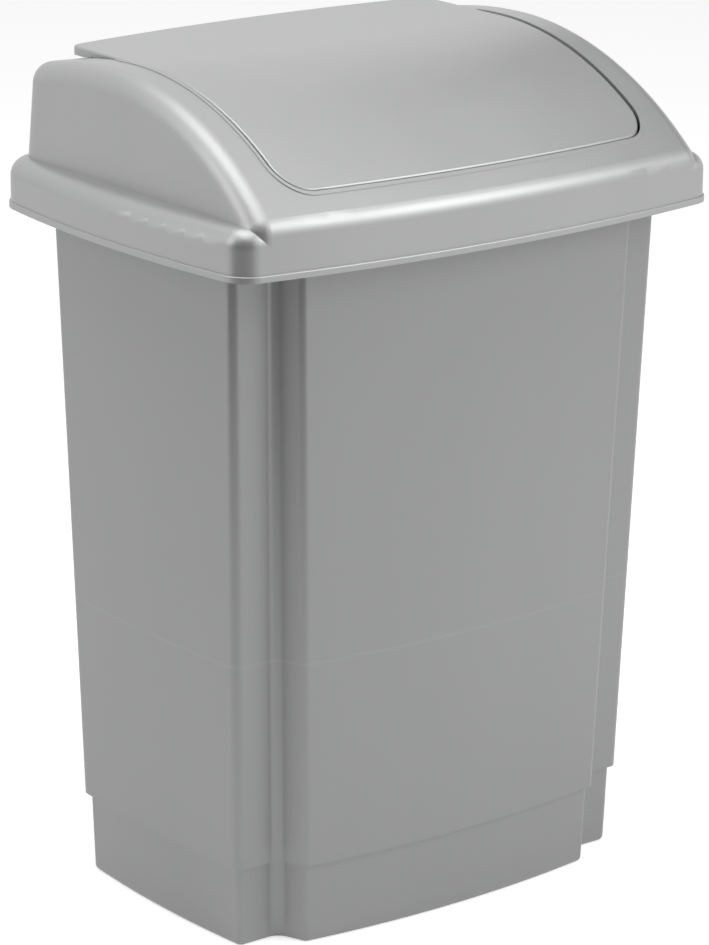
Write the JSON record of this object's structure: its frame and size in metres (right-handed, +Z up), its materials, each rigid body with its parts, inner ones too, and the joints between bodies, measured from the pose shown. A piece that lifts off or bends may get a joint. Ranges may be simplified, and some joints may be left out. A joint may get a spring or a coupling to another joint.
{
  "type": "swing-lid trash can",
  "caption": "Tapered kitchen bin with a domed lift-off hood and a flap that swings inwards on side pins and falls shut.",
  "frame": {"origin": "centre of the bottom, on the floor", "axes": "+Z up, the wide front face towards -Y, +X along the width"},
  "size_m": [0.34, 0.252, 0.4736],
  "materials": {
    "bucket_plastic": "silver-grey moulded polypropylene, satin",
    "hood_plastic": "silver-grey moulded polypropylene, satin",
    "flap_plastic": "silver-grey moulded polypropylene, satin"
  },
  "bodies": {
    "bucket": {"bin_body": "bucket_plastic"},
    "hood": {"lid_frame": "hood_plastic"},
    "flap": {"swing_flap": "flap_plastic"}
  },
  "joints": [
    {"name": "hood_lift", "type": "slide", "parent": "bucket", "child": "hood", "axis": [0, 0, 1], "range_m": [0, 0.06]},
    {"name": "flap_swing", "type": "hinge", "parent": "hood", "child": "flap", "pos_m": [0, -0.016, 0.4595], "axis": [1, 0, 0], "range_deg": [0, 65]}
  ]
}
